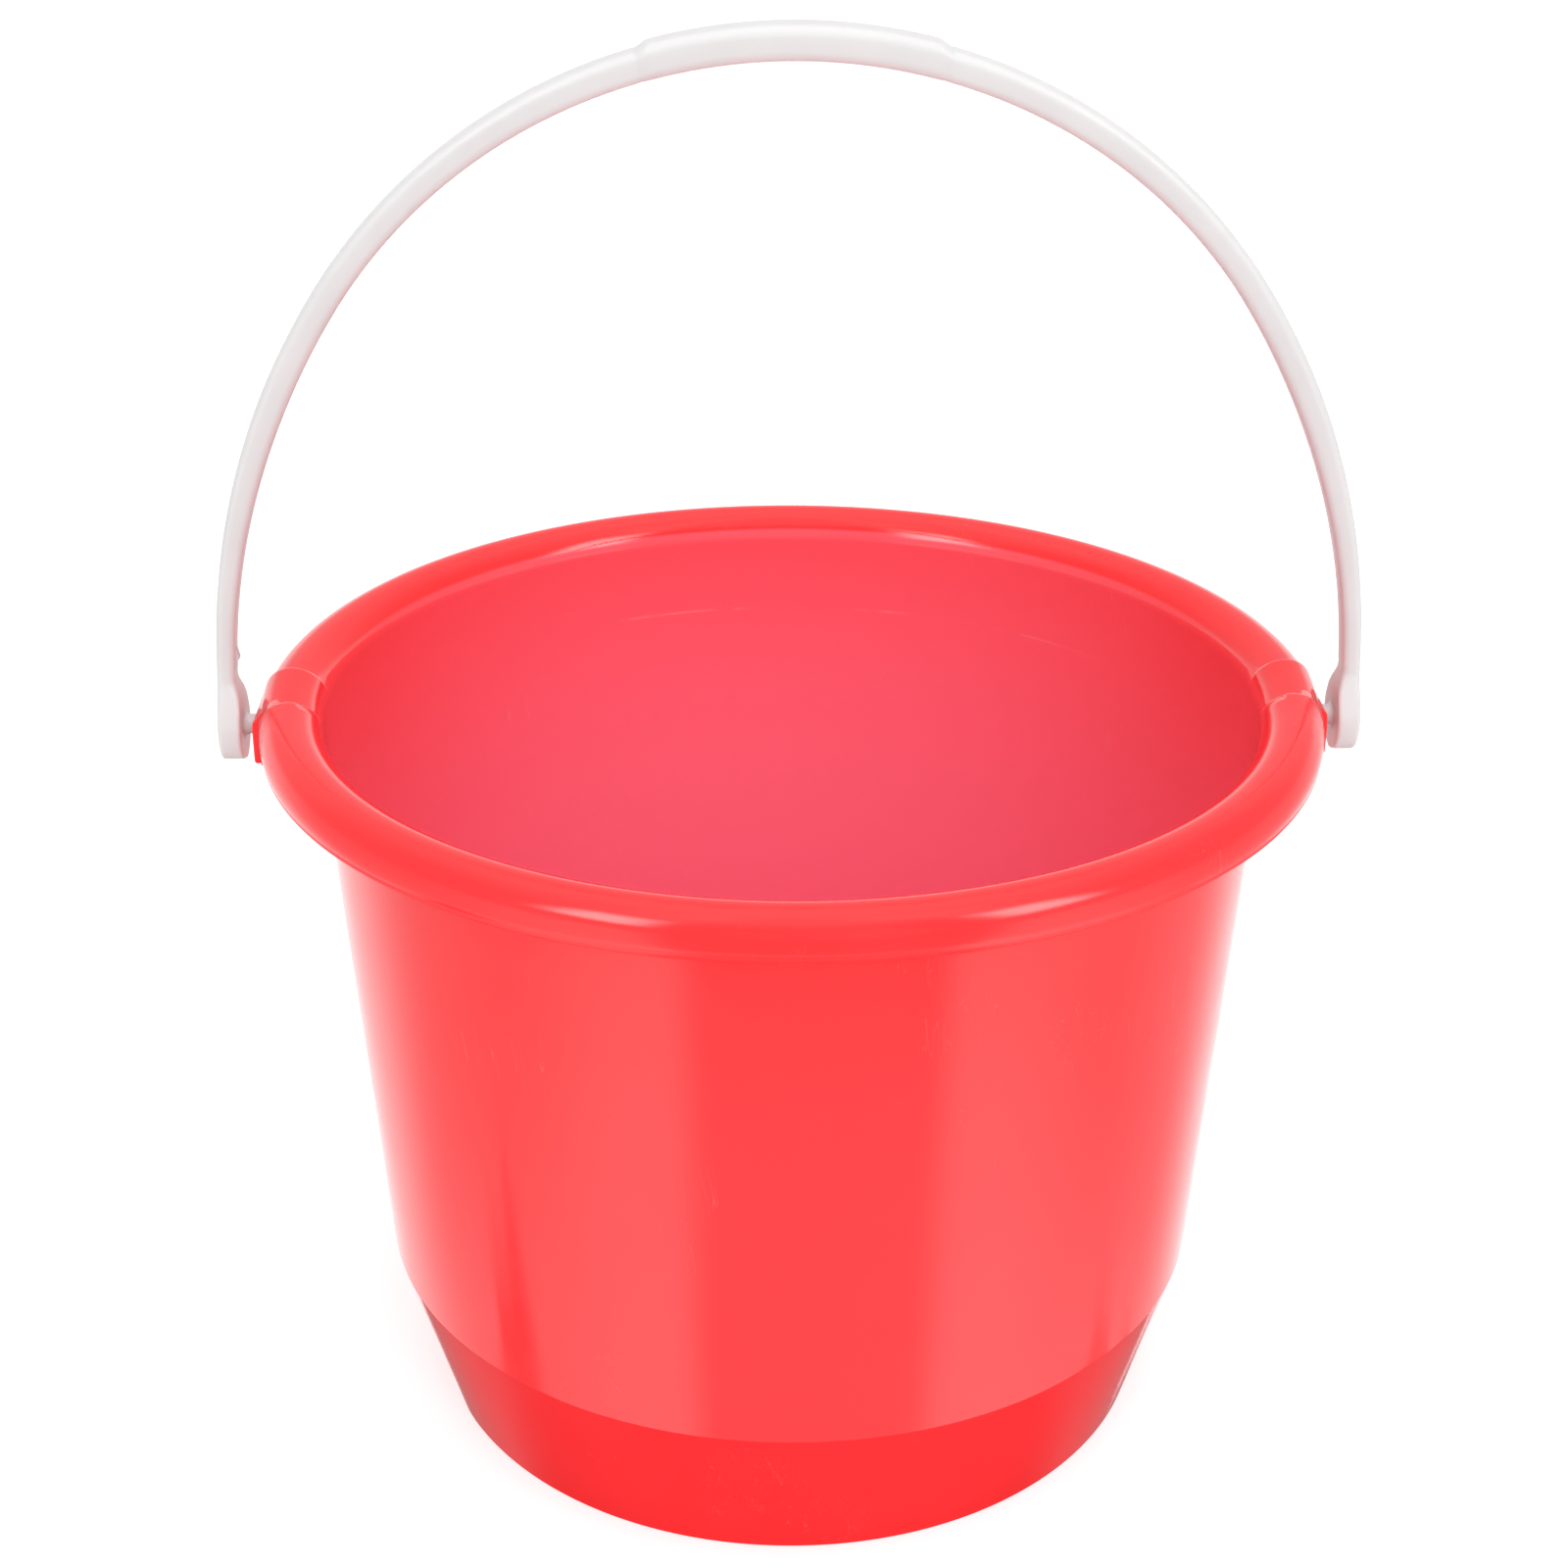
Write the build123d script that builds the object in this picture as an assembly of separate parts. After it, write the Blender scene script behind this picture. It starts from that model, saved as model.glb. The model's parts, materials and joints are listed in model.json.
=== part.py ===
"""Wash bucket: a red moulded tub with a rolled rim, and a white bail handle that snaps into its two lugs.

Millimetres. The origin is the centre of the foot ring on the ground, +Z is up, and the handle pivots
about a line along X. The handle stands upright at rest.
"""

from build123d import *
import os
from math import asin, atan2, cos, degrees, radians, sin, tan

# Tub: outside diameters and heights
RIM_D = 280.0  # widest part of the rolled rim
TUB_H = 207.8  # crest of the rim above the ground
KINK_D = 227.4  # edge where the wall turns in towards the foot
KINK_Z = 44.4
FOOT_D = 201.8

# Tub: walls
WALL_T = 1.8
FLOOR_T = 2.2
FOOT_W = 2.6  # foot ring that the tub stands on
FOOT_H = 3.0  # gap under the floor, inside the foot ring
CORNER_R = 5.0  # inside corner between floor and wall
GATE_R = 2.5  # stub left by the mould's feed, under the floor
GATE_H = 1.0

# Rolled rim: a hollow inverted U
ROLL_W = 14.24  # the wall's outer face, run up to the crest's height, to the rim's widest line
ROLL_R = 7.7  # outer half of the roll
LIP_DROP = 2.9  # how far the outer skin runs down below its widest line
BAND_W = 21.6  # between the two cross lines over the rim near each lug
BAND_SHIFT = -5.3  # middle of the two lines, in front of the pin's axis
GROOVE_W = 0.7  # width of each line
GROOVE_D = 0.4

# Lugs: hollow boxes under the rim that hold the pins
LUG_W = 26.0
LUG_PROUD = 1.4  # beyond the rim's widest line
LUG_RIB_T = 1.8
LUG_DROP = 6.6  # below the pin's axis
LUG_RISE = 5.0  # above the pin's axis, to the start of the sloped top
LUG_TOP_ANGLE = 28.0  # where on the roll the sloped top ends, above its widest line
POCKET_RISE = 5.6
POCKET_WEB = 1.2  # left against the tub's wall
ROOT_SINK = 0.7  # share of the wall's thickness that the lug's back face goes into it

# Pins of the handle
PIVOT_DROP = 13.2  # pin's axis below the rim's crest
PIN_D = 5.3
PIN_CLEARANCE = 0.1  # radial, in the lug's hole
HEAD_STEP = 0.95  # radial, how far the snap head stands out beyond the pin
HEAD_TAPER = 1.4  # radial, from the head's shoulder to its tip
HEAD_L = 4.0
END_PLAY = 0.5  # between the head's shoulder and the lug's plate

# Bail: an arch of two tangent arcs on each side
ARM_GAP = 3.8  # lug face to the inner face of the paddle
PADDLE_T = 5.95
PADDLE_R = 9.4
PADDLE_FLARE = 25.0  # degrees that the paddle narrows upwards into the leg
ROOT_FLARE = 1.5  # the pin widens this much, over the same length, where it meets the paddle
ARM_T = 4.7  # legs, whose outer faces are flush with the paddles'
CROWN_T = 7.7
CROWN_SHIFT = 0.5  # how far the centres of the crown's two edges lie either side of its middle
ARM_W = 8.5
CROWN_W = 10.6
CROWN_LIFT = 28.5  # how much higher the middle of the crown is above the pins than half the span
CROWN_TUCK = 9.0  # how much smaller the crown's radius is than the half span
SPRING_RISE = 7.7  # pivot axis to where the legs begin to curve
EDGE_R = 2.0
GRIP_L = 76.0
GRIP_W = 11.8
GRIP_PROUD = 1.0
GRIP_RAMP = 3.7
GRIP_EDGE_R = 2.6
NUB_RISE = 18.8  # stub on the inner side of one leg
NUB_H = 6.4
NUB_W = 3.0
NUB_PROUD = 1.4

rim_r = RIM_D / 2
roll_x = rim_r - ROLL_R
roll_z = TUB_H - ROLL_R
lug_face_x = rim_r + LUG_PROUD
plate_back_x = rim_r - WALL_T
plate_t = lug_face_x - plate_back_x
paddle_x = lug_face_x + ARM_GAP
arm_x = paddle_x + PADDLE_T - ARM_T
crown_mid = arm_x + ARM_T / 2 + CROWN_LIFT  # pivot axis to the middle of the crown
pivot_z = TUB_H - PIVOT_DROP
draft = atan2(rim_r - ROLL_W - KINK_D / 2, TUB_H - KINK_Z)  # the wall's lean above the kink


def wall_x(z, inset):
    """Radius of the wall above the kink at a height, inset from its outer face."""
    return KINK_D / 2 + (z - KINK_Z) * tan(draft) - inset / cos(draft)


def inner_roll_radius():
    """Radius of the inner half of the roll, tangent to the crest and to the wall's inner face."""
    reach = (roll_x - wall_x(TUB_H, WALL_T)) * cos(draft)
    return reach / (1 - sin(draft))


def arc(center, radius, start, end):
    """Arc about a centre, angles in degrees."""
    points = [radians(start + (end - start) * share) for share in (0, 0.5, 1)]
    return ThreePointArc(*[(center[0] + radius * cos(a), center[1] + radius * sin(a)) for a in points])


def offset_in(start, end, distance):
    """The line through two points, moved to its left, as a point and a unit direction."""
    direction = (Vector(*end) - Vector(*start)).normalized()
    return Vector(*start) + Vector(-direction.Y, direction.X) * distance, direction


def meet(first, second):
    """Where two lines cross, each a point and a direction."""
    (p, d), (q, e) = first, second
    share = ((q.X - p.X) * e.Y - (q.Y - p.Y) * e.X) / (d.X * e.Y - d.Y * e.X)
    return (p.X + d.X * share, p.Y + d.Y * share)


def roll_edges(inset):
    """The rim's section from the wall over the crest to the lip, inset from the outer skin."""
    inner_r = inner_roll_radius()
    lip_angle = -degrees(asin(LIP_DROP / ROLL_R))
    inner = arc((roll_x, TUB_H - inner_r), inner_r - inset, 180 - degrees(draft), 90)
    outer = arc((roll_x, roll_z), ROLL_R - inset, 90, lip_angle)
    return inner, outer


def tub_body():
    """Wall, floor, foot ring and rolled rim, turned about Z."""
    foot = (FOOT_D / 2, 0)
    kink = (KINK_D / 2, KINK_Z)
    above_kink = (kink[0] + sin(draft), kink[1] + cos(draft))
    floor_top = FOOT_H + FLOOR_T
    inner_cone = offset_in(foot, kink, WALL_T)
    inner_wall = offset_in(kink, above_kink, WALL_T)
    corner = meet(inner_cone, (Vector(0, floor_top), Vector(1, 0)))
    inner_kink = meet(inner_cone, inner_wall)
    skin_in, skin_out = roll_edges(0)
    hollow_in, hollow_out = roll_edges(WALL_T)
    ring_x = FOOT_D / 2 - FOOT_W
    outline = [
        Polyline((0, floor_top), (0, FOOT_H), (ring_x, FOOT_H), (ring_x, 0), foot, kink, hollow_in @ 0),
        hollow_in,
        hollow_out,
        Line(hollow_out @ 1, skin_out @ 1),
        skin_out,
        skin_in,
        Polyline(skin_in @ 0, inner_kink, corner, (0, floor_top)),
    ]
    section = make_face(outline)
    near_corner = section.vertices().sort_by_distance((*corner, 0))[0]
    section = fillet(near_corner, CORNER_R)
    return revolve(Plane.XZ * section, Axis.Z)


def lug():
    """Hollow box under the rim on the +X side, closed at its top by the roll."""
    top_z = pivot_z + LUG_RISE
    bottom_z = pivot_z - LUG_DROP
    inner, _ = roll_edges(WALL_T * (1 - ROOT_SINK))
    outer = arc((roll_x, roll_z), ROLL_R - WALL_T / 2, 90, LUG_TOP_ANGLE)
    root = (wall_x(bottom_z, WALL_T * ROOT_SINK), bottom_z)
    front = [(lug_face_x, top_z), (lug_face_x, bottom_z)]
    outline = [inner, Line(inner @ 1, outer @ 0), outer, Polyline(outer @ 1, *front, root, inner @ 0)]
    solid = extrude(Plane.XZ * make_face(outline), LUG_W / 2, both=True)
    front_edges = solid.edges().filter_by(Axis.Z).group_by(Axis.X)[-1]
    solid = fillet(front_edges, plate_t / 3)
    pocket_x = wall_x(pivot_z, -POCKET_WEB)
    pocket_size = (plate_back_x - pocket_x, LUG_W - 2 * LUG_RIB_T, 2 * (LUG_DROP + POCKET_RISE))
    pocket = Box(*pocket_size, align=(Align.MIN, Align.CENTER, Align.MAX))
    return solid - Pos(pocket_x, 0, pivot_z + POCKET_RISE) * pocket


def groove_ring():
    """Thin shell round the top of the roll, as deep as the cross lines are cut."""
    shells = []
    for inset in (-1.0, GROOVE_D):
        skin_in, skin_out = roll_edges(inset)
        face = make_face([skin_in, skin_out, Line(skin_out @ 1, skin_in @ 0)])
        shells.append(revolve(Plane.XZ * face, Axis.Z))
    return shells[0] - shells[1]


def bucket_tub():
    """The whole tub moulding."""
    tub = tub_body()
    one_lug = lug()
    tub += one_lug + mirror(one_lug, about=Plane.YZ)
    gate = Cylinder(GATE_R, GATE_H + FLOOR_T / 2, align=(Align.CENTER, Align.CENTER, Align.MIN))
    tub += Pos(0, 0, FOOT_H - GATE_H) * gate
    hole_r = PIN_D / 2 + PIN_CLEARANCE
    hole = Rot(0, 90, 0) * Cylinder(hole_r, 2 * plate_t)
    ring = groove_ring()
    for side in (-1, 1):
        tub -= Pos(side * (lug_face_x - plate_t / 2), 0, pivot_z) * hole
        for end in (-1, 1):
            slab = Box(6 * ROLL_R, GROOVE_W, 2 * ROLL_R)
            tub -= ring & (Pos(side * roll_x, BAND_SHIFT + end * BAND_W / 2, roll_z + ROLL_R) * slab)
    return tub


def arch_edge(half_span, crown_rise, crown_r, spring_rise):
    """One edge of the arch in the XZ plane, from the right leg over the crown to the left leg."""
    level = crown_rise - crown_r - spring_rise
    side_r = (half_span**2 + level**2 - crown_r**2) / (2 * (half_span - crown_r))
    crown_center = (0, pivot_z + crown_rise - crown_r)
    side_center = (half_span - side_r, pivot_z + spring_rise)
    turn = degrees(atan2(crown_center[1] - side_center[1], crown_center[0] - side_center[0]))
    left_center = (-side_center[0], side_center[1])
    return [
        Line((half_span, pivot_z), (half_span, pivot_z + spring_rise)),
        arc(side_center, side_r, 0, turn),
        arc(crown_center, crown_r, turn, 180 - turn),
        arc(left_center, side_r, 180 - turn, 180),
        Line((-half_span, pivot_z + spring_rise), (-half_span, pivot_z)),
    ]


def arch_sizes(outwards):
    """Driving sizes of the arch's outer edge (outwards = 1) or inner edge (outwards = -1)."""
    half_span = arm_x + ARM_T / 2 + outwards * ARM_T / 2
    crown_rise = crown_mid + outwards * CROWN_T / 2
    crown_r = arm_x + ARM_T / 2 - CROWN_TUCK + outwards * (CROWN_T / 2 - CROWN_SHIFT)
    spring_rise = SPRING_RISE + outwards * ARM_T / 4
    return half_span, crown_rise, crown_r, spring_rise


def bail_arch():
    """The bar of the handle: thin at the legs, deeper and wider at the crown, edges rounded."""
    outer = arch_edge(*arch_sizes(1))
    inner = arch_edge(*arch_sizes(-1))
    ends = [Line(outer[0] @ 0, inner[0] @ 0), Line(outer[-1] @ 1, inner[-1] @ 1)]
    side_view = make_face(outer + inner + ends)
    bar = extrude(Plane.XZ * side_view, CROWN_W, both=True)
    top_z = pivot_z + crown_mid + CROWN_T
    end_view = Polygon(
        (-ARM_W / 2, pivot_z),
        (ARM_W / 2, pivot_z),
        (CROWN_W / 2, top_z),
        (-CROWN_W / 2, top_z),
        align=None,
    )
    bar &= extrude(Plane.YZ * end_view, 2 * paddle_x, both=True)
    long_edges = bar.edges().filter_by(lambda edge: edge.center().Z > pivot_z + 1)
    return fillet(long_edges, EDGE_R)


def grip():
    """Raised middle of the crown, held by the hand. It ramps down to the bar at both ends."""
    _, outer_rise, outer_r, _ = arch_sizes(1)
    _, inner_rise, inner_r, _ = arch_sizes(-1)

    def arch_z(x, rise, radius):
        return pivot_z + rise - radius + (radius**2 - x**2) ** 0.5

    half = GRIP_L / 2
    flat = half - GRIP_RAMP
    raised_z = arch_z(flat, outer_rise, outer_r) + GRIP_PROUD
    top = ThreePointArc((-flat, raised_z), (0, pivot_z + outer_rise + GRIP_PROUD), (flat, raised_z))
    foot_z = arch_z(half, outer_rise, outer_r) - EDGE_R / 2
    under_z = arch_z(half, inner_rise, inner_r)
    under = ThreePointArc((-half, under_z), (0, pivot_z + inner_rise), (half, under_z))
    right = Polyline(top @ 1, (half, foot_z), under @ 1)
    left = Polyline(top @ 0, (-half, foot_z), under @ 0)
    face = make_face([top, right, under, left])
    solid = extrude(Plane.XZ * face, GRIP_W / 2, both=True)
    long_edges = solid.edges().filter_by(GeomType.CIRCLE)
    return fillet(long_edges, GRIP_EDGE_R)


def paddle_and_pin():
    """Right-hand end of the handle: a flat paddle, and the pin with its snap head."""
    flare = radians(PADDLE_FLARE)
    side_y = PADDLE_R * cos(flare)
    side_z = PADDLE_R * sin(flare)
    neck_z = side_z + (side_y - ARM_W / 2) * cos(flare) / sin(flare)
    rounded = arc((0, 0), PADDLE_R, 180 - PADDLE_FLARE, 360 + PADDLE_FLARE)
    neck = Polyline((side_y, side_z), (ARM_W / 2, neck_z), (-ARM_W / 2, neck_z), (-side_y, side_z))
    plate = extrude(Plane.YZ * make_face([rounded, neck]), PADDLE_T)
    rims = plate.edges().filter_by(lambda edge: edge.geom_type == GeomType.CIRCLE)
    plate = fillet(rims, PADDLE_T / 8)
    head_x = plate_back_x - END_PLAY - paddle_x
    flare_r = PIN_D / 2 + ROOT_FLARE
    root = Cone(flare_r - ROOT_FLARE, flare_r, ROOT_FLARE, align=(Align.CENTER, Align.CENTER, Align.MAX))
    pin_l = PADDLE_T / 2 - head_x
    pin = Cylinder(PIN_D / 2, pin_l, align=(Align.CENTER, Align.CENTER, Align.MIN))
    head_r = PIN_D / 2 + HEAD_STEP
    head = Cone(head_r - HEAD_TAPER, head_r, HEAD_L, align=(Align.CENTER, Align.CENTER, Align.MAX))
    along_x = Rot(0, 90, 0)
    solid = plate + along_x * root + Pos(head_x, 0, 0) * along_x * (pin + head)
    return Pos(paddle_x, 0, pivot_z) * solid


def nub():
    """Small wedge on the inner side of the left leg: flat below, sloped above."""
    depth = ARM_T / 2 + NUB_PROUD
    wedge = Polygon((0, 0), (depth, 0), (ARM_T / 2, NUB_H), (0, NUB_H), align=None)
    solid = extrude(Plane.XZ * wedge, NUB_W / 2, both=True)
    return Pos(-arm_x - ARM_T / 2, 0, pivot_z + NUB_RISE) * solid


def bail_handle():
    """The whole handle moulding."""
    one_end = paddle_and_pin()
    return bail_arch() + grip() + one_end + mirror(one_end, about=Plane.YZ) + nub()


os.makedirs("parts", exist_ok=True)
export_step(bucket_tub(), "parts/bucket_tub.step")
export_step(bail_handle(), "parts/bail_handle.step")
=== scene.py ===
"""Wash bucket: a glossy red tub with a rolled rim, and a white bail handle that swings on two pins.

Metres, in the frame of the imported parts: the foot ring stands on z = 0 and the pins lie along X.
"""

import json
from math import asin, atan2, cos, degrees, hypot, pi, radians, sin, tan

import bmesh
import bpy
from mathutils import Matrix, Vector


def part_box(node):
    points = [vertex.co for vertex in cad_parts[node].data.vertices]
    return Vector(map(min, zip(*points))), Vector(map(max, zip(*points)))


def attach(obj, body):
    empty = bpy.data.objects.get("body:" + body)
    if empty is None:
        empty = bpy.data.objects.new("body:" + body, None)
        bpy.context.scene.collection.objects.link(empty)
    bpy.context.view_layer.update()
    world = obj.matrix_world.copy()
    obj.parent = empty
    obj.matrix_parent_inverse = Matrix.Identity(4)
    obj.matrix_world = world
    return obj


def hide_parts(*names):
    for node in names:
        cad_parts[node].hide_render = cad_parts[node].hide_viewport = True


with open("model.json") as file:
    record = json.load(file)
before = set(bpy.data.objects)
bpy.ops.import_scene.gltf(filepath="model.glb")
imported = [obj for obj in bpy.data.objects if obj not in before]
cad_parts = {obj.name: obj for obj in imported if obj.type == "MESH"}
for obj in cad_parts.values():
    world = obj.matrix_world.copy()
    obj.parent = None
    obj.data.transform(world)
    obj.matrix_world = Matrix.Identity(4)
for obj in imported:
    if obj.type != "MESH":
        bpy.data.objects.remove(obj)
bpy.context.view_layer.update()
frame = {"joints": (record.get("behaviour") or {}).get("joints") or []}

MM = 0.001
tub_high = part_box("bucket_tub")[1]
handle_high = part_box("bail_handle")[1]
pivot_z = frame["joints"][0]["pos_m"][2]
rim_r = tub_high.y
tub_h = tub_high.z
lug_face_x = tub_high.x
paddle_out_x = handle_high.x

# Tub
TUB_STEPS = 288
WALL_T = 1.8 * MM
FLOOR_T = 2.2 * MM
FOOT_R = 100.9 * MM
FOOT_W = 2.6 * MM
FOOT_H = 3.0 * MM
FOOT_SLOPE = 0.4 * MM  # the foot ring's inner face leans by this much
KINK_R = 113.7 * MM
KINK_Z = 44.4 * MM
WALL_DRAFT = radians(4.22)
CORNER_R = 5.0 * MM
ROLL_R = 7.7 * MM
LIP_ANGLE = -22.1
LIP_BEAD = 0.28 * MM
LIP_STEPS = ((0.7, 0.2), (0.35, 1.0), (0.0, 0.7), (-0.25, 0.0))  # mm down the lip, share of the bead

# Lugs
LUG_W = 26.0 * MM
LUG_RIB_T = 1.8 * MM
LUG_DROP = 6.6 * MM
LUG_RISE = 5.0 * MM
LUG_TUCK = 3.8 * MM  # the plate's back runs up into the rim by this much
LUG_EDGE = 0.45 * MM
PIN_HOLE_R = 2.75 * MM
HOLE_STEPS = 48
PIN_ROOM = 0.3 * MM  # between the snap head and the lip above it

# Cross lines: two small saw-tooth steps over the rim near each lug
BAND_W = 21.6 * MM
BAND_SHIFT = -5.3 * MM
BAND_LIFT = 0.85 * MM
BAND_START = 3.5 * MM  # the step grows in from this far below the roll's middle
BAND_GROWTH = 5.0 * MM
BACK_LINES = {1: -0.42, 2: -0.12, 3: 0.12, 4: 0.42, 5: 2.4, 6: 4.3}  # degrees from the back line
FRONT_LINES = {-3: 2.2, -4: 0.42, -5: 0.12, -6: -0.12, -7: -0.42, -8: -2.0, -9: -3.6}

# Pins
PIN_R = 2.65 * MM
PIN_STEPS = 40
PIN_ROOT = 1.5 * MM  # sunk into the paddle
PIN_FLARE = 1.5 * MM
PIN_HEAD_STEP = 0.95 * MM
PIN_HEAD_L = 4.0 * MM
PIN_HEAD_TAPER = 1.4 * MM
PIN_HEAD_PLAY = 0.5 * MM  # between the lug's plate and the snap head

# Handle
ARM_T = 4.7 * MM
ARM_W = 8.5 * MM
ARM_CORNER = 1.8 * MM
CROWN_T = 7.7 * MM
CROWN_W = 10.6 * MM
CROWN_TUCK = 9.0 * MM
SPRING_RISE = 7.7 * MM
PADDLE_T = 5.95 * MM
PADDLE_R = 9.4 * MM
PADDLE_FLARE = radians(25)
PADDLE_CORNER = 1.1 * MM
GRIP_HALF = 38.0 * MM
GRIP_W = 11.8 * MM
GRIP_PROUD = 1.0 * MM
GRIP_RAMP = 3.7 * MM
GRIP_GROOVE = 0.14 * MM
SIDE_STATIONS = 56
MIDDLE_STATIONS = 12
GRIP_END_STATIONS = (4.5, 3.0, 1.6, 0.8, 0.25, -0.25, -0.8, -1.4, -2.1, -2.8, -3.4, -4.0, -4.8, -6.5)
NUB_RISE = 18.8 * MM
NUB_H = 6.4 * MM
NUB_W = 3.0 * MM
NUB_ROOT = 1.5 * MM
NUB_TOP = 0.1 * MM
NUB_FOOT = 1.4 * MM

# Studio
LENS = 63.03
SENSOR_W = 36.0
CAMERA_PLACE = (-0.0218, -0.6714, 0.4912)
CAMERA_TURN = -1.7
CAMERA_TILT = 90 - 25.19
CAMERA_ROLL = 0.157
FLOOR_R = 4.0
FLOOR_SHADE = 0.68
FLOOR_GLOW = 0.56
DIFFUSE_LIGHT = 0.74
PANEL_TURN = 5.5  # the panels' middle is this many degrees right of straight in front
BASE_GLOW = 0.28
PANEL_GLOW = 1.1
LAMP_GLOW = 7.0
CEILING_GLOW = 0.45
DARK_GLOW = 0.04

roll_x = rim_r - ROLL_R
roll_z = tub_h - ROLL_R
roll_mid_out = ROLL_R * 0.55  # from the roll's middle to the middle of its outer quarter
plate_back_x = rim_r - WALL_T
arm_mid_x = paddle_out_x - ARM_T / 2
crown_rise = handle_high.z - GRIP_PROUD - CROWN_T / 2 - pivot_z
taper_low = PADDLE_R * sin(PADDLE_FLARE)
neck_rise = (PADDLE_R * cos(PADDLE_FLARE) - ARM_W / 2) / tan(PADDLE_FLARE) + taper_low


# ---------------------------------------------------------------- lines and blends


def blend_in(share):
    """0 below 0, 1 above 1, smooth between."""
    share = min(1, max(0, share))
    return share * share * (3 - 2 * share)


def evenly(first, last, count):
    return [first + (last - first) * i / count for i in range(count + 1)]


def arc_points(center, radius, start, end, count):
    """Points of an arc from start to end, in degrees."""
    turns = [radians(turn) for turn in evenly(start, end, count)]
    return [Vector((center[0] + radius * cos(a), center[1] + radius * sin(a))) for a in turns]


def rounded(points, radii, count=4, support=1.0 * MM):
    """A line of points with its inner corners rounded. Each run keeps a point close to both of its ends."""
    path = [Vector(p) for p in points]
    out = [path[0]]
    for before, here, after, radius in zip(path, path[1:], path[2:], radii):
        to_before, to_after = (before - here).normalized(), (after - here).normalized()
        half_turn = to_before.angle(to_after) / 2
        reach = radius / tan(half_turn)
        middle = here + (to_before + to_after).normalized() * radius / sin(half_turn)
        first, last = here + to_before * reach, here + to_after * reach
        out.append(first + to_before * support)
        for share in evenly(0, 1, count):
            spoke = (first - middle).lerp(last - middle, share)
            out.append(middle + spoke.normalized() * radius)
        out.append(last + to_after * support)
    return out + [path[-1]]


# ---------------------------------------------------------------- meshes and objects


def verts_of(items):
    return [item for item in items if isinstance(item, bmesh.types.BMVert)]


def edges_of(verts):
    """The edges at some vertices, each once, in a fixed order."""
    return list(dict.fromkeys(edge for vert in verts for edge in vert.link_edges))


def mesh_from(name, bm):
    mesh = bpy.data.meshes.new(name)
    bm.to_mesh(mesh)
    bm.free()
    return mesh


def new_object(name, data):
    """An object in the scene, at the origin."""
    made = bpy.data.objects.new(name, data)
    bpy.context.scene.collection.objects.link(made)
    return made


def new_piece(name, bm, body, material):
    """A smooth mesh object that rides on a body."""
    bmesh.ops.recalc_face_normals(bm, faces=bm.faces)
    mesh = mesh_from(name, bm)
    mesh.shade_smooth()
    mesh.materials.append(material)
    piece = new_object(name, mesh)
    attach(piece, body)
    return piece


def spin_profile(bm, points, axis, steps):
    """Turns an outline once round an axis through the origin. Its points are (along X, up)."""
    verts = [bm.verts.new((point.x, 0, point.y)) for point in points]
    edges = [bm.edges.new(pair) for pair in zip(verts, verts[1:])]
    bmesh.ops.spin(
        bm, geom=verts + edges, cent=(0, 0, 0), axis=axis, angle=2 * pi, steps=steps, use_merge=True
    )
    bmesh.ops.remove_doubles(bm, verts=bm.verts, dist=0.001 * MM)


def turn_to_left(bm):
    """Turns a part of the right side half round, to the left side."""
    bmesh.ops.rotate(bm, verts=bm.verts, cent=(0, 0, 0), matrix=Matrix.Rotation(pi, 3, "Z"))


def round_edges(piece, width):
    """A live bevel on the sharp edges."""
    bevel = piece.modifiers.new("rounded edges", "BEVEL")
    bevel.width = width
    bevel.segments = 3
    bevel.limit_method = "ANGLE"
    bevel.angle_limit = radians(40)
    bevel.harden_normals = True


# ---------------------------------------------------------------- materials


class Socket:
    """A shader socket on which arithmetic adds Math nodes."""

    def __init__(self, shader, link):
        self.shader, self.link = shader, link

    def math(self, operation, other=None, swap=False):
        values = [self, other] if other is not None else [self]
        if swap:
            values.reverse()
        inputs = dict(enumerate(values))
        return self.shader.node("ShaderNodeMath", {"operation": operation}, inputs)

    def __add__(self, other):
        return self.math("ADD", other)

    def __sub__(self, other):
        return self.math("SUBTRACT", other)

    def __mul__(self, other):
        return self.math("MULTIPLY", other)

    def __radd__(self, other):
        return self.math("ADD", other, swap=True)

    def __rsub__(self, other):
        return self.math("SUBTRACT", other, swap=True)

    def __rmul__(self, other):
        return self.math("MULTIPLY", other, swap=True)

    def size(self):
        """The value without its sign."""
        return self.math("ABSOLUTE")

    def ramp(self, low, high):
        """0 below low, 1 above high, smooth between."""
        settings = {"interpolation_type": "SMOOTHSTEP"}
        return self.shader.node("ShaderNodeMapRange", settings, {0: self, 1: low, 2: high})


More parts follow.
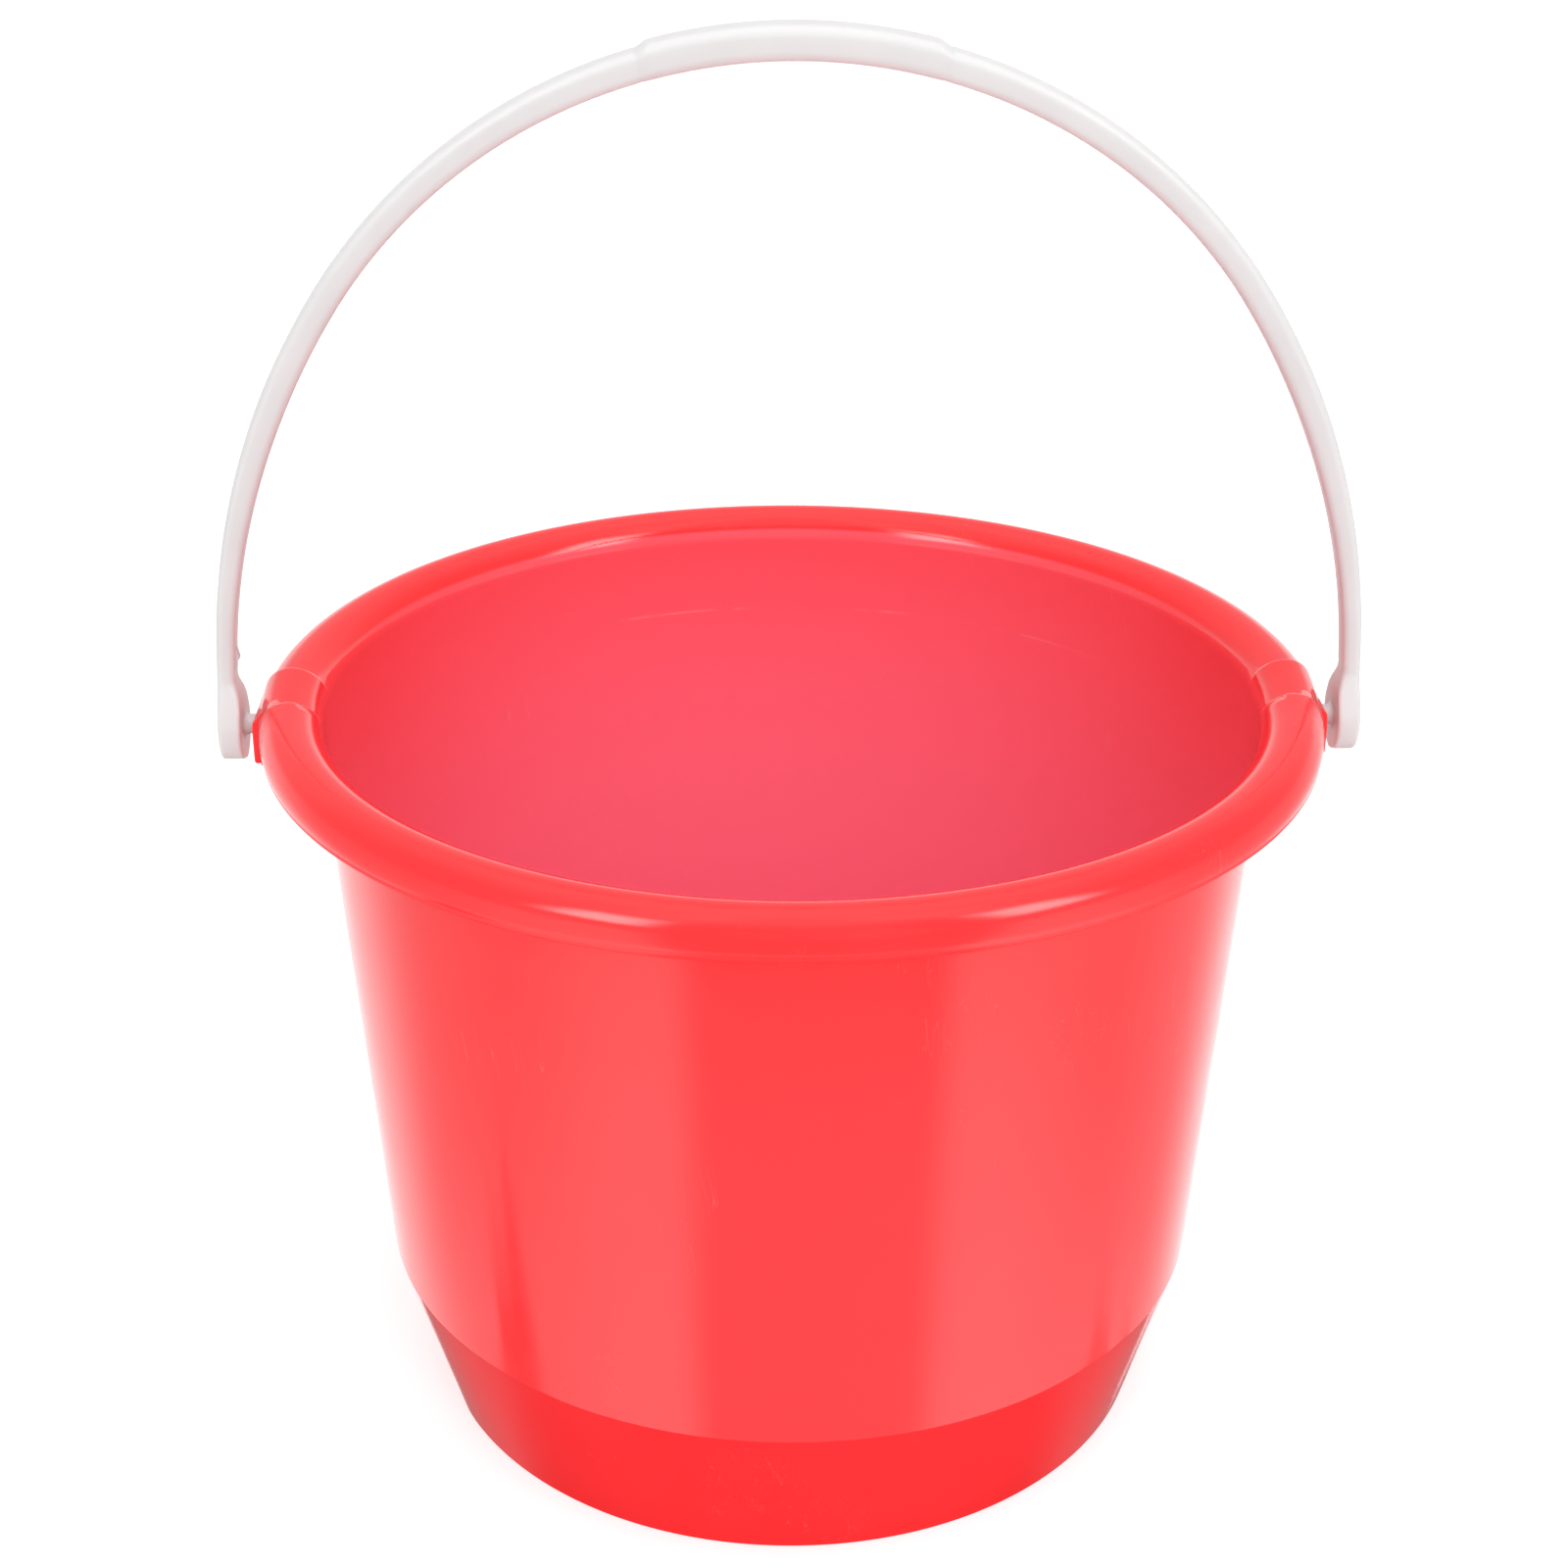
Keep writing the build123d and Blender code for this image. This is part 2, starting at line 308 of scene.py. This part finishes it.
class Shader:
    """Builds one node tree."""

    def __init__(self, owner):
        owner.use_nodes = True
        self.tree = owner.node_tree
        self.tree.nodes.clear()

    def node(self, kind, settings=None, inputs=None, output=0):
        """Adds a node with its settings and the values or links of its sockets, and gives one output."""
        node = self.tree.nodes.new(kind)
        for name, value in (settings or {}).items():
            setattr(node, name, value)
        for name, value in (inputs or {}).items():
            if isinstance(value, Socket):
                self.tree.links.new(value.link, node.inputs[name])
            else:
                node.inputs[name].default_value = value
        return Socket(self, node.outputs[output]) if node.outputs else None

    def place(self, scale=(1, 1, 1)):
        """Object coordinates, stretched."""
        coordinates = self.node("ShaderNodeTexCoord", output="Object")
        return self.node("ShaderNodeMapping", None, {"Vector": coordinates, "Scale": scale})

    def noise(self, where, scale, detail=2.0):
        return self.node("ShaderNodeTexNoise", None, {"Vector": where, "Scale": scale, "Detail": detail})

    def mix(self, share, first, second):
        """A colour between two colours. On this node they are sockets 6 and 7, and output 2."""
        return self.node("ShaderNodeMix", {"data_type": "RGBA"}, {0: share, 6: first, 7: second}, output=2)

    def axes(self, where):
        """The x, y and z of a vector."""
        split = self.node("ShaderNodeSeparateXYZ", None, {0: where})
        return [Socket(self, output) for output in split.link.node.outputs]

    def bump(self, height, distance):
        inputs = {"Height": height, "Strength": 0.3, "Distance": distance}
        return self.node("ShaderNodeBump", None, inputs)

    def finish(self, inputs):
        """The surface, as one Principled shader."""
        surface = self.node("ShaderNodeBsdfPrincipled", None, inputs)
        self.node("ShaderNodeOutputMaterial", None, {"Surface": surface})


def scratches(shader, turn, scale, density):
    """Sparse fine lines, 1 on a line and 0 off it."""
    coordinates = shader.node("ShaderNodeTexCoord", output="Object")
    turned = shader.node("ShaderNodeMapping", None, {"Vector": coordinates, "Rotation": turn})
    stretched = shader.node("ShaderNodeMapping", None, {"Vector": turned, "Scale": scale})
    lines = shader.noise(stretched, 1.0, 1.0)
    broken = shader.noise(turned, 26.0, 1.0)
    on_line = 1 - (lines - 0.5).size().ramp(0.0, 0.006)
    return on_line * broken.ramp(1 - density, 1.02 - density)


def red_plastic():
    """Glossy red polypropylene, a little see-through. The inside has a painted pinker glow towards the floor
    and the back: painted light for the glow through the walls and the light bounced inside.
    """
    deep_red, clear_red = (0.86, 0.024, 0.028, 1), (0.88, 0.029, 0.033, 1)
    inner_red, painted_glow_pink = (0.91, 0.040, 0.040, 1), (0.96, 0.215, 0.320, 1)
    # pink of the painted reflection ring inside, and pink of the painted highlights on the rim's cross lines
    reflection_pink, step_highlight_pink = (0.96, 0.42, 0.44, 1), (0.94, 0.26, 0.26, 1)
    scratch_pink = (0.95, 0.40, 0.40, 1)
    # height of the painted reflection ring inside the back wall
    reflection_arc_z = 178.5 * MM

    material = bpy.data.materials.new("red_plastic")
    shader = Shader(material)
    where = shader.place()
    x, y, z = shader.axes(where)
    flow = shader.noise(shader.place((1, 1, 0.25)), 22.0, 3.0)
    cloud = shader.noise(where, 55.0, 3.0)
    grain = shader.noise(where, 1400.0, 2.0)
    upright = scratches(shader, (0.0, 0.10, 0.3), (420.0, 420.0, 3.0), 0.36)
    slanted = scratches(shader, (0.5, 0.35, 1.9), (380.0, 380.0, 4.0), 0.32)
    scratch = upright.math("MAXIMUM", slanted)

    # how far a point lies inside the outer face, above the floor's edge
    radius = (x * x + y * y).math("SQRT")
    wall = KINK_R + (z - KINK_Z) * tan(WALL_DRAFT)
    cone = FOOT_R + z * ((KINK_R - FOOT_R) / KINK_Z)
    inside = (wall.math("MINIMUM", cone) - radius).ramp(0.0007, 0.0012) * z.ramp(0.0035, 0.0045)
    # painted light: share of the painted pinker glow, most low down inside and towards the back
    depth = 0.80 * (1 - z.ramp(0.080, 0.235)) + 0.20 * y.ramp(0.02, 0.12)
    outer = shader.mix(flow, deep_red, clear_red)
    inner = shader.mix(depth, inner_red, painted_glow_pink)
    color = shader.mix(inside, outer, inner)

    # a broken ring of painted reflection high inside the back wall: painted reflections of the rim's
    # highlights
    painted_reflection_arcs = 1 - (z - reflection_arc_z).size().ramp(0.00015, 0.0005)
    painted_reflection_arcs = painted_reflection_arcs * inside * y.ramp(0.07, 0.11) * cloud.ramp(0.45, 0.60)
    color = shader.mix(painted_reflection_arcs * 0.22, color, reflection_pink)

    # painted highlights along the edges of the rim's cross lines
    step = 1 - ((y - BAND_SHIFT).size() - BAND_W / 2).size().ramp(0.0001, 0.0006)
    step = step * x.size().ramp(0.118, 0.120) * z.ramp(roll_z + 1 * MM, roll_z + 4 * MM)
    color = shader.mix(step * 0.45, color, step_highlight_pink)
    color = shader.mix(scratch * 0.10, color, scratch_pink)

    roughness = 0.10 + 0.05 * cloud.ramp(0.35, 0.75) + 0.12 * scratch
    bump = shader.bump(0.22 * flow + 0.006 * grain - 0.03 * scratch, 0.6 * MM)
    shader.finish({"Base Color": color, "Roughness": roughness, "Normal": bump, "IOR": 1.49})
    return material


def white_plastic():
    """Natural polypropylene: milky, satin, with faint clouds and scuffs."""
    milk, bright_milk = (0.61, 0.60, 0.602, 1), (0.66, 0.648, 0.651, 1)

    material = bpy.data.materials.new("white_plastic")
    shader = Shader(material)
    where = shader.place()
    cloud = shader.noise(where, 60.0, 3.0)
    grain = shader.noise(where, 1200.0, 2.0)
    scuff = scratches(shader, (0.4, 0.2, 0.9), (500.0, 500.0, 8.0), 0.40)
    shader.finish(
        {
            "Base Color": shader.mix(cloud, milk, bright_milk),
            "Roughness": 0.30 + 0.12 * cloud + 0.15 * scuff,
            "Normal": shader.bump(0.2 * cloud + 0.03 * grain - 0.05 * scuff, 0.5 * MM),
            "IOR": 1.49,
            "Subsurface Weight": 0.2,
            "Subsurface Radius": (1.0, 0.85, 0.8),
            "Subsurface Scale": 3 * MM,
        }
    )
    return material


RED = red_plastic()
WHITE = white_plastic()


# ---------------------------------------------------------------- tub


def wall_x(z, inset):
    """Radius of the wall above the kink, inset from its outer face."""
    return KINK_R + (z - KINK_Z) * tan(WALL_DRAFT) - inset / cos(WALL_DRAFT)


def rim_lines():
    """The rolled rim's hollow side and outer side, each from the inside of the roll out to the lip."""
    slope = 180 - degrees(WALL_DRAFT)
    inner_r = (roll_x - wall_x(tub_h, WALL_T)) * cos(WALL_DRAFT) / (1 - sin(WALL_DRAFT))
    inner_center = (roll_x, tub_h - inner_r)
    roll_center = (roll_x, roll_z)
    hollow_in = arc_points(inner_center, inner_r - WALL_T, slope, 90, 14)
    hollow_out = arc_points(roll_center, ROLL_R - WALL_T, 90, LIP_ANGLE, 16)
    skin_out = arc_points(roll_center, ROLL_R, LIP_ANGLE, 90, 28)
    skin_in = arc_points(inner_center, inner_r, 90, slope, 24)

    hollow_end, lip = hollow_out[-1], skin_out[0]
    outwards = (lip - Vector(roll_center)).normalized()
    down = Vector((outwards.y, -outwards.x))
    bead = [lip + down * drop * MM + outwards * LIP_BEAD * share for drop, share in LIP_STEPS]
    bead = [hollow_end, hollow_end + down * 0.5 * MM] + bead
    return hollow_in + hollow_out[1:-1] + bead + skin_out[2:-1] + skin_in


def tub_outline():
    """Half section of the tub: from the axis, under the floor, up the outside, over the rim, down inside."""
    rim = rim_lines()
    cone_lean = atan2(KINK_R - FOOT_R, KINK_Z)
    kink_in_z = KINK_Z - WALL_T * tan((cone_lean - WALL_DRAFT) / 2) * 0.5
    floor_top = FOOT_H + FLOOR_T

    def cone_in_x(z):
        return FOOT_R + z * tan(cone_lean) - WALL_T / cos(cone_lean)

    outside = rounded(
        [
            (0, FOOT_H),
            (FOOT_R - FOOT_W - FOOT_SLOPE, FOOT_H),
            (FOOT_R - FOOT_W, 0),
            (FOOT_R, 0),
            (KINK_R, KINK_Z),
            rim[0],
        ],
        [1.2 * MM, 0.6 * MM, 0.7 * MM, 1.6 * MM],
        support=0.9 * MM,
    )
    inside = rounded(
        [rim[-1], (cone_in_x(kink_in_z), kink_in_z), (cone_in_x(floor_top), floor_top), (0, floor_top)],
        [3.0 * MM, CORNER_R],
        count=8,
    )
    return outside[:-1] + rim + inside[1:]


def crowd(angle):
    """Moves the mesh's radial lines together where the rim steps, at the two cross lines near each lug."""
    back = degrees(asin((BAND_SHIFT + BAND_W / 2) / roll_x))
    front = degrees(asin((BAND_W / 2 - BAND_SHIFT) / roll_x))
    nearest = {line: back + away for line, away in BACK_LINES.items()}
    nearest |= {line: away - front for line, away in FRONT_LINES.items()}
    side = round(angle / 180) * 180
    backwards = 1 if side == 0 else -1
    turn = (angle - side) * backwards
    turn = nearest.get(round(turn * TUB_STEPS / 360), turn)
    return radians(side + turn * backwards)


def step_band(vert):
    """Saw-tooth of the rim over a lug: high at the back line, low at the front line."""
    across = (vert.co.y - BAND_SHIFT) / (BAND_W / 2)
    if abs(across) >= 1 or abs(vert.co.x) < roll_x / 2:
        return
    height = vert.co.z
    grown = blend_in((height - (roll_z - BAND_START)) / BAND_GROWTH)
    off_wall = (hypot(vert.co.x, vert.co.y) - wall_x(height, WALL_T)) / (0.6 * MM)
    lift = BAND_LIFT * across * grown * min(1, max(0, off_wall))
    outward = Vector((vert.co.x, vert.co.y, 0)).normalized()
    vert.co += outward * lift * 0.6 + Vector((0, 0, lift * 0.8))


def clear_pin(vert):
    """Ends the lip higher inside each lug, above the pin."""
    out_on_lip = abs(vert.co.x) > roll_x + roll_mid_out and vert.co.z > pivot_z
    if out_on_lip and abs(vert.co.y) < PIN_HOLE_R + 2 * MM:
        vert.co.z = max(vert.co.z, pivot_z + PIN_R + PIN_HEAD_STEP + PIN_ROOM)


def bucket_tub():
    """The shell: floor, wall and rolled rim."""
    bm = bmesh.new()
    spin_profile(bm, tub_outline(), (0, 0, 1), TUB_STEPS)
    for vert in bm.verts:
        radius = hypot(vert.co.x, vert.co.y)
        if radius > 1 * MM:
            angle = crowd(degrees(atan2(vert.co.y, vert.co.x)))
            vert.co = Vector((radius * cos(angle), radius * sin(angle), vert.co.z))
            step_band(vert)
            clear_pin(vert)
    piece = new_piece("bucket_tub_shell", bm, "tub", RED)
    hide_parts("bucket_tub")


def lug_plate(bm, thick):
    """The lug's plate, with the pin's round hole. Its back runs up into the rim."""
    hole = bmesh.ops.create_circle(bm, segments=HOLE_STEPS, radius=PIN_HOLE_R)["verts"]
    for vert in hole:
        vert.co = Vector((0, vert.co.x, vert.co.y))
    outer = bmesh.ops.extrude_edge_only(bm, edges=edges_of(hole))["geom"]
    for vert in verts_of(outer):
        room_z = LUG_RISE if vert.co.z > 0 else LUG_DROP
        vert.co *= min(LUG_W / 2 / max(abs(vert.co.y), 1e-9), room_z / max(abs(vert.co.z), 1e-9))
    back = bmesh.ops.extrude_face_region(bm, geom=list(bm.faces))["geom"]
    for vert in verts_of(back):
        vert.co.x -= thick
        if vert.co.z > LUG_RISE * 0.98:
            vert.co.z += LUG_TUCK
    bmesh.ops.translate(bm, verts=bm.verts, vec=(lug_face_x, 0, pivot_z))


def lug_ribs(bm, thick):
    """The two ribs that join the plate's ends to the wall and the rim."""
    bottom = pivot_z - LUG_DROP
    roof = roll_z + roll_mid_out
    rib = [
        (wall_x(bottom, WALL_T * 0.7), bottom),
        (plate_back_x + 0.5 * thick, bottom),
        (plate_back_x + 0.3 * MM, roll_z),
        (roll_x + roll_mid_out, roof),
        (roll_x - ROLL_R * 0.45, roof),
        (wall_x(roll_z, WALL_T * 0.5), roll_z),
    ]
    for end in (-1, 1):
        face = bm.faces.new([bm.verts.new((x, end * (LUG_W / 2 - 0.02 * MM), z)) for x, z in rib])
        moved = bmesh.ops.extrude_face_region(bm, geom=[face])["geom"]
        bmesh.ops.translate(bm, verts=verts_of(moved), vec=(0, -end * LUG_RIB_T, 0))


def lug(side, name):
    bm = bmesh.new()
    thick = lug_face_x - plate_back_x
    lug_plate(bm, thick)
    lug_ribs(bm, thick)
    if side < 0:
        turn_to_left(bm)
    piece = new_piece(name, bm, "tub", RED)
    round_edges(piece, LUG_EDGE)


# ---------------------------------------------------------------- handle


def section(inward, outward, width, corner):
    """A rounded bar section as (across the arch, front to back) points, starting at the outer side."""
    points = []
    radius = min(corner, width / 2 * 0.98, (inward + outward) / 2 * 0.98)
    quarters = ((outward - radius, 1, 0), (radius - inward, 1, 90))
    quarters += ((radius - inward, -1, 180), (outward - radius, -1, 270))
    for across, side, start in quarters:
        center = (across, side * (width / 2 - radius))
        points += arc_points(center, radius, start, start + 90, 6)
    return points


def paddle_stations():
    """Stations of the right paddle, from its round bottom up through its taper into the bar."""
    shapes = []
    for turn in range(-86, 26, 7):
        width = 2 * PADDLE_R * cos(radians(turn))
        shapes.append((PADDLE_R * sin(radians(turn)), 1, width, PADDLE_CORNER))
    for share in (0.3, 0.55, 0.75, 0.9, 1.0, 1.12):
        rise = taper_low + (neck_rise - taper_low) * share
        flare = max(0, neck_rise - rise) * tan(PADDLE_FLARE)
        softened = 0.25 * MM * max(0, 1 - abs(share - 1) * 6)
        thick_share = 1 - blend_in((share - 0.35) / 0.7)
        corner = PADDLE_CORNER + (ARM_CORNER - PADDLE_CORNER) * blend_in(share)
        shapes.append((rise, thick_share, ARM_W + 2 * flare + softened, corner))
    stations = []
    for rise, thick_share, width, corner in shapes:
        place = Vector((arm_mid_x, 0, pivot_z + rise))
        inward = ARM_T / 2 + (PADDLE_T - ARM_T) * thick_share
        stations.append((place, Vector((1, 0, 0)), inward, ARM_T / 2, width, corner))
    return stations


def bar_stations():
    """Stations of the right half of the bar, up the side arc and along the crown arc to the middle."""
    crown_r = arm_mid_x - CROWN_TUCK
    level = crown_rise - crown_r - SPRING_RISE
    side_r = (arm_mid_x**2 + level**2 - crown_r**2) / (2 * CROWN_TUCK)
    side_center = Vector((arm_mid_x - side_r, 0, pivot_z + SPRING_RISE))
    crown_center = Vector((0, 0, pivot_z + crown_rise - crown_r))
    turn = atan2(crown_center.z - side_center.z, crown_center.x - side_center.x)
    side_l = side_r * turn
    total = side_l + crown_r * (pi / 2 - turn)
    grip_start = total - GRIP_HALF

    lengths = evenly(neck_rise * 1.25 - SPRING_RISE, grip_start - 6 * MM, SIDE_STATIONS)
    lengths += [grip_start - away * MM for away in GRIP_END_STATIONS]
    lengths += evenly(lengths[-1] + 3 * MM, total, MIDDLE_STATIONS)

    stations = []
    for length in lengths:
        if length < side_l:
            center, radius, angle = side_center, side_r, length / side_r
        else:
            center, radius, angle = crown_center, crown_r, turn + (length - side_l) / crown_r
        normal = Vector((cos(angle), 0, sin(angle)))
        share = length / total
        thick = ARM_T + 2.5 * MM * blend_in(share / 0.38) + 0.5 * MM * blend_in((share - 0.5) / 0.5)
        width = ARM_W + (CROWN_W - ARM_W) * blend_in(share / 0.95)
        into_grip = length - grip_start
        raised = blend_in(into_grip / GRIP_RAMP)
        groove = GRIP_GROOVE * max(0, 1 - abs(into_grip) / (0.6 * MM))
        outward = thick / 2 + GRIP_PROUD * raised - groove
        width += (GRIP_W - CROWN_W) * raised - 2 * groove
        corner = ARM_CORNER + 0.7 * MM * blend_in(share / 0.4) + 0.3 * MM * raised
        stations.append((center + normal * radius, normal, thick / 2 - groove, outward, width, corner))
    return stations


def bail_bar(bm):
    """The whole bar, lofted through its stations from the right paddle over the crown to the left paddle.

    A station is its place, its outward normal, and its section's inner side, outer side, width and corner.
    """
    right = paddle_stations() + bar_stations()
    left = [(Vector((-p.x, p.y, p.z)), Vector((-n.x, n.y, n.z)), *rest) for p, n, *rest in right[:-1]]
    ring = None
    for place, normal, *shape in right + left[::-1]:
        points = [place + normal * across + Vector((0, depth, 0)) for across, depth in section(*shape)]
        if ring is None:
            ring = [bm.verts.new(p) for p in points]
            bm.faces.new(ring)
            edges = edges_of(ring)
            continue
        moved = bmesh.ops.extrude_edge_only(bm, edges=edges)["geom"]
        edges = [item for item in moved if isinstance(item, bmesh.types.BMEdge)]
        new_verts = set(verts_of(moved))
        neighbours = [[edge.other_vert(vert) for edge in vert.link_edges] for vert in ring]
        ring = [next(vert for vert in near if vert in new_verts) for near in neighbours]
        for vert, point in zip(ring, points):
            vert.co = point
    bm.faces.new(ring)


def pin(bm, side):
    """Pin along X with a flared root at the paddle and a snap head behind the lug's plate."""
    root = paddle_out_x - PADDLE_T
    head = plate_back_x - PIN_HEAD_PLAY
    flare_r = PIN_R + PIN_FLARE
    outline = [Vector((root + PIN_ROOT, 0)), Vector((root + PIN_ROOT, flare_r))]
    outline += arc_points((root - PIN_FLARE, flare_r), PIN_FLARE, 0, -90, 6)
    outline += [Vector((x, PIN_R)) for x in (root - PIN_FLARE - 1 * MM, head + 0.3 * MM, head)]
    head_r = PIN_R + PIN_HEAD_STEP
    tip = head - PIN_HEAD_L
    outline += rounded(
        [(head, PIN_R + 0.1 * MM), (head, head_r), (tip, head_r - PIN_HEAD_TAPER), (tip, 0)],
        [0.25 * MM, 0.5 * MM],
        support=0.15 * MM,
    )
    part = bmesh.new()
    spin_profile(part, outline, (1, 0, 0), PIN_STEPS)
    bmesh.ops.translate(part, verts=part.verts, vec=(0, 0, pivot_z))
    if side < 0:
        turn_to_left(part)
    mesh = mesh_from("pin", part)
    bm.from_mesh(mesh)
    bpy.data.meshes.remove(mesh)


def nub(bm):
    """Small wedge on the inner side of the left leg: flat below, sloped above."""
    cube = bmesh.ops.create_cube(bm, size=1.0)["verts"]
    leg_x = ARM_T - paddle_out_x
    for vert in cube:
        upper, inner = vert.co.z > 0, vert.co.x > 0
        proud = NUB_TOP if upper else NUB_FOOT
        vert.co.x = leg_x + (proud if inner else -NUB_ROOT)
        vert.co.y *= NUB_W
        vert.co.z = pivot_z + NUB_RISE + (NUB_H if upper else 0)
    bmesh.ops.bevel(
        bm, geom=edges_of(cube), offset=0.25 * MM, segments=2, profile=0.5, affect="EDGES", material=-1
    )


def bail_handle():
    """The bar with its grip and paddles, the two pins and the nub, as one moulding."""
    bm = bmesh.new()
    bail_bar(bm)
    for side in (-1, 1):
        pin(bm, side)
    nub(bm)
    piece = new_piece("bail_handle_bar", bm, "handle", WHITE)
    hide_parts("bail_handle")


# ---------------------------------------------------------------- studio


def camera():
    data = bpy.data.cameras.new("camera")
    data.sensor_width = SENSOR_W
    data.lens = LENS
    view = new_object("camera", data)
    turn = Matrix.Rotation(radians(CAMERA_TURN), 4, "Z")
    tilt = Matrix.Rotation(radians(CAMERA_TILT), 4, "X")
    roll = Matrix.Rotation(radians(CAMERA_ROLL), 4, "Z")
    view.matrix_world = Matrix.Translation(CAMERA_PLACE) @ turn @ tilt @ roll
    bpy.context.scene.camera = view


def floor():
    """Wide pale disc that glows a little, and that the gloss doesn't see."""
    bm = bmesh.new()
    bmesh.ops.create_circle(bm, cap_ends=True, segments=96, radius=FLOOR_R)
    mesh = mesh_from("floor", bm)
    ground = new_object("floor", mesh)
    material = bpy.data.materials.new("pale_floor")
    Shader(material).finish(
        {
            "Base Color": (FLOOR_SHADE, FLOOR_SHADE, FLOOR_SHADE, 1),
            "Roughness": 0.9,
            "Specular IOR Level": 0.0,
            "Emission Color": (1, 1, 1, 1),
            "Emission Strength": FLOOR_GLOW,
        }
    )
    mesh.materials.append(material)
    ground.visible_glossy = False


def studio():
    """Soft white room: even light, and in the gloss softboxes at the front corners over a dark floor."""
    world = bpy.data.worlds.new("studio")
    bpy.context.scene.world = world
    shader = Shader(world)
    direction = shader.node("ShaderNodeTexCoord", output="Generated")
    x, y, z = shader.axes(direction)

    # degrees to either side of the front, and degrees above the horizon
    turn = (x.math("ARCTAN2", 0 - y) * (180 / pi) - PANEL_TURN).size()
    height = z.math("ARCSINE") * (180 / pi)

    # tall panels at the front corners and at the back, weaker above the horizon
    panel = PANEL_GLOW * turn.ramp(28, 41) - 0.72 * turn.ramp(44, 90) + 0.5 * turn.ramp(112, 145)
    level = BASE_GLOW + 0.40 * (1 - height.ramp(-43, -37)) + panel * (1 - 0.65 * height.ramp(2, 14))

    # dark ground at the sides and back, with a ragged edge
    stretched = shader.node("ShaderNodeMapping", None, {"Vector": direction, "Scale": (1, 1, 0.1)})
    jag = shader.noise(stretched, 9.0, 4.0)
    edge = height + 15 * (jag - 0.5) + 6 * (1 - turn.ramp(80, 92)) - 3.0 * turn.ramp(128, 160)
    level = level * (1 - 0.85 * turn.ramp(80, 88) * (1 - edge.ramp(-42.2, -41.7)))

    # two small lamps, a pale ceiling, and almost nothing straight below
    lamp = turn.ramp(34, 44) * (1 - turn.ramp(54, 66)) * height.ramp(20, 32) * (1 - height.ramp(42, 58))
    level = level + LAMP_GLOW * lamp + CEILING_GLOW * height.ramp(40, 66)
    level = level * height.ramp(-58, -50) + DARK_GLOW

    seen = shader.node("ShaderNodeLightPath", output="Is Camera Ray")
    gloss = shader.node("ShaderNodeLightPath", output="Is Glossy Ray")
    even = DIFFUSE_LIGHT * (1 - gloss) + level * gloss
    strength = even * (1 - seen) + seen
    glow = shader.node("ShaderNodeBackground", None, {"Color": (1, 1, 1, 1), "Strength": strength})
    shader.node("ShaderNodeOutputWorld", None, {"Surface": glow})


def area_light(name, place, target, size, power):
    """Round soft light that the gloss doesn't see."""
    data = bpy.data.lights.new(name, "AREA")
    data.shape = "DISK"
    data.size = size
    data.energy = power
    lamp = new_object(name, data)
    aim = (Vector(target) - Vector(place)).to_track_quat("-Z", "Y")
    lamp.matrix_world = Matrix.Translation(place) @ aim.to_matrix().to_4x4()
    lamp.visible_glossy = False


camera()
floor()
studio()
area_light("top", place=(0.1, -0.25, 1.9), target=(0, 0, 0.1), size=1.5, power=17)
area_light("front", place=(0.25, -1.95, 1.1), target=(0, 0, 0.15), size=1.4, power=13)

bucket_tub()
lug(1, "rim_lug_right")
lug(-1, "rim_lug_left")
bail_handle()

bpy.context.scene.view_settings.view_transform = "Standard"
bpy.context.scene.view_settings.look = "None"
